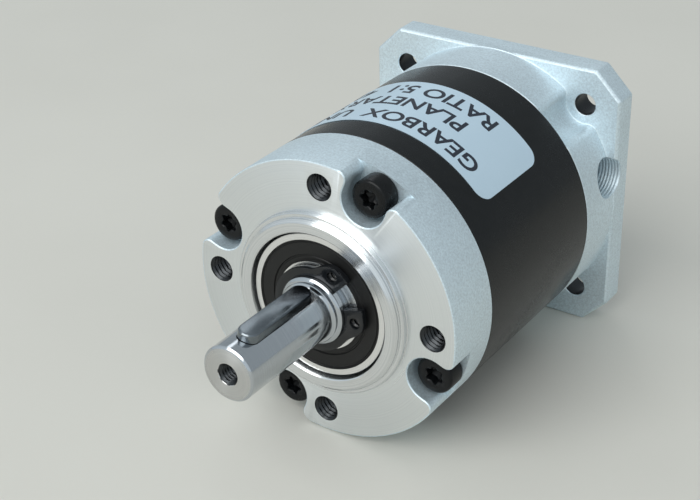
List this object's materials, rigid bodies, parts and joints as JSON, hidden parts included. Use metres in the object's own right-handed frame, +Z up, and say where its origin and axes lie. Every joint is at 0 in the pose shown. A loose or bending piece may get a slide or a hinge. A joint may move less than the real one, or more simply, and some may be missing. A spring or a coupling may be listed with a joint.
{
  "type": "planetary gearbox",
  "caption": "Single-stage planetary gearbox with a round body, keyed output shaft, threaded output face and a square motor flange with a clamp hub.",
  "frame": {"origin": "on the shaft axis, halfway between the motor face and the output shaft's tip", "axes": "the output shaft points to -Y and the motor face looks to +Y; +Z is up with the square motor flange's sides level; the clamp screw's access hole is on the +X side"},
  "size_m": [0.0424, 0.0718, 0.0424],
  "materials": {
    "machined_aluminium": "bright turned face, fine blasted side",
    "blasted_aluminium": "fine blasted and clear anodised",
    "black_housing": "satin black steel",
    "ground_steel": "ground and polished",
    "gear_steel": "cut and hardened",
    "black_oxide_steel": "oiled black oxide",
    "key_steel": "dark drawn steel",
    "bearing_steel": "ground and polished",
    "seal_rubber": "matt moulded rubber",
    "bronze": "machined bearing bronze",
    "label_film": "satin silver film"
  },
  "bodies": {
    "housing": {"output_flange": "machined_aluminium", "ring_gear": "black_housing", "input_flange": "blasted_aluminium", "output_flange_screw_1": "black_oxide_steel", "output_flange_screw_2": "black_oxide_steel", "output_flange_screw_3": "black_oxide_steel", "output_flange_screw_4": "black_oxide_steel", "input_flange_screw_1": "black_oxide_steel", "input_flange_screw_2": "black_oxide_steel", "input_flange_screw_3": "black_oxide_steel", "input_flange_screw_4": "black_oxide_steel", "output_flange_o_ring": "seal_rubber", "input_flange_o_ring": "seal_rubber", "name_label": "label_film", "front_bearing_outer_ring": "bearing_steel", "front_bearing_seal": "seal_rubber", "front_bearing_rear_seal": "seal_rubber", "rear_bearing_outer_ring": "bearing_steel", "rear_bearing_seal": "seal_rubber", "input_bearing_outer_ring": "bearing_steel", "input_bearing_seal": "seal_rubber", "input_bearing_retaining_ring": "black_oxide_steel"},
    "output": {"output_shaft": "ground_steel", "carrier_plate": "gear_steel", "shaft_key": "key_steel", "shaft_circlip": "black_oxide_steel", "front_bearing_inner_ring": "bearing_steel", "rear_bearing_inner_ring": "bearing_steel", "carrier_screw_1": "black_oxide_steel", "carrier_screw_2": "black_oxide_steel", "carrier_screw_3": "black_oxide_steel", "planet_pin_1": "ground_steel", "planet_pin_2": "ground_steel", "planet_pin_3": "ground_steel", "planet_front_washer_1": "bronze", "planet_front_washer_2": "bronze", "planet_front_washer_3": "bronze", "planet_rear_washer_1": "bronze", "planet_rear_washer_2": "bronze", "planet_rear_washer_3": "bronze"},
    "input": {"input_clamp_hub": "gear_steel", "clamp_collar": "black_oxide_steel", "clamp_screw": "black_oxide_steel", "sun_gear": "gear_steel", "input_bearing_inner_ring": "bearing_steel", "input_hub_circlip": "black_oxide_steel"},
    "planet_1": {"planet_gear_1": "gear_steel", "planet_bush_1": "bronze"},
    "planet_2": {"planet_gear_2": "gear_steel", "planet_bush_2": "bronze"},
    "planet_3": {"planet_gear_3": "gear_steel", "planet_bush_3": "bronze"},
    "front_bearing_cage": {"front_bearing_balls": "bearing_steel"},
    "rear_bearing_cage": {"rear_bearing_balls": "bearing_steel"},
    "input_bearing_cage": {"input_bearing_balls": "bearing_steel"}
  },
  "joints": [
    {"name": "output_spin", "type": "hinge", "parent": "housing", "child": "output", "pos_m": [0, 0, 0], "axis": [0, -1, 0], "continuous": true},
    {"name": "input_spin", "type": "hinge", "parent": "housing", "child": "input", "pos_m": [0, 0.025, 0], "axis": [0, -1, 0], "continuous": true},
    {"name": "planet_1_spin", "type": "hinge", "parent": "output", "child": "planet_1", "pos_m": [0, 0.0065, 0.009], "axis": [0, -1, 0], "continuous": true},
    {"name": "planet_2_spin", "type": "hinge", "parent": "output", "child": "planet_2", "pos_m": [-0.00779, 0.0065, -0.0045], "axis": [0, -1, 0], "continuous": true},
    {"name": "planet_3_spin", "type": "hinge", "parent": "output", "child": "planet_3", "pos_m": [0.00779, 0.0065, -0.0045], "axis": [0, -1, 0], "continuous": true},
    {"name": "front_bearing_roll", "type": "hinge", "parent": "housing", "child": "front_bearing_cage", "pos_m": [0, -0.0128, 0], "axis": [0, -1, 0], "continuous": true},
    {"name": "rear_bearing_roll", "type": "hinge", "parent": "housing", "child": "rear_bearing_cage", "pos_m": [0, -0.00495, 0], "axis": [0, -1, 0], "continuous": true},
    {"name": "input_bearing_roll", "type": "hinge", "parent": "housing", "child": "input_bearing_cage", "pos_m": [0, 0.0217, 0], "axis": [0, -1, 0], "continuous": true}
  ],
  "couplings": [
    {"joint": "input_spin", "follows": "output_spin", "ratio": 5},
    {"joint": "planet_1_spin", "follows": "output_spin", "ratio": -2.6667},
    {"joint": "planet_2_spin", "follows": "output_spin", "ratio": -2.6667},
    {"joint": "planet_3_spin", "follows": "output_spin", "ratio": -2.6667},
    {"joint": "front_bearing_roll", "follows": "output_spin", "ratio": 0.40625},
    {"joint": "rear_bearing_roll", "follows": "output_spin", "ratio": 0.41667},
    {"joint": "input_bearing_roll", "follows": "output_spin", "ratio": 2.0833}
  ]
}
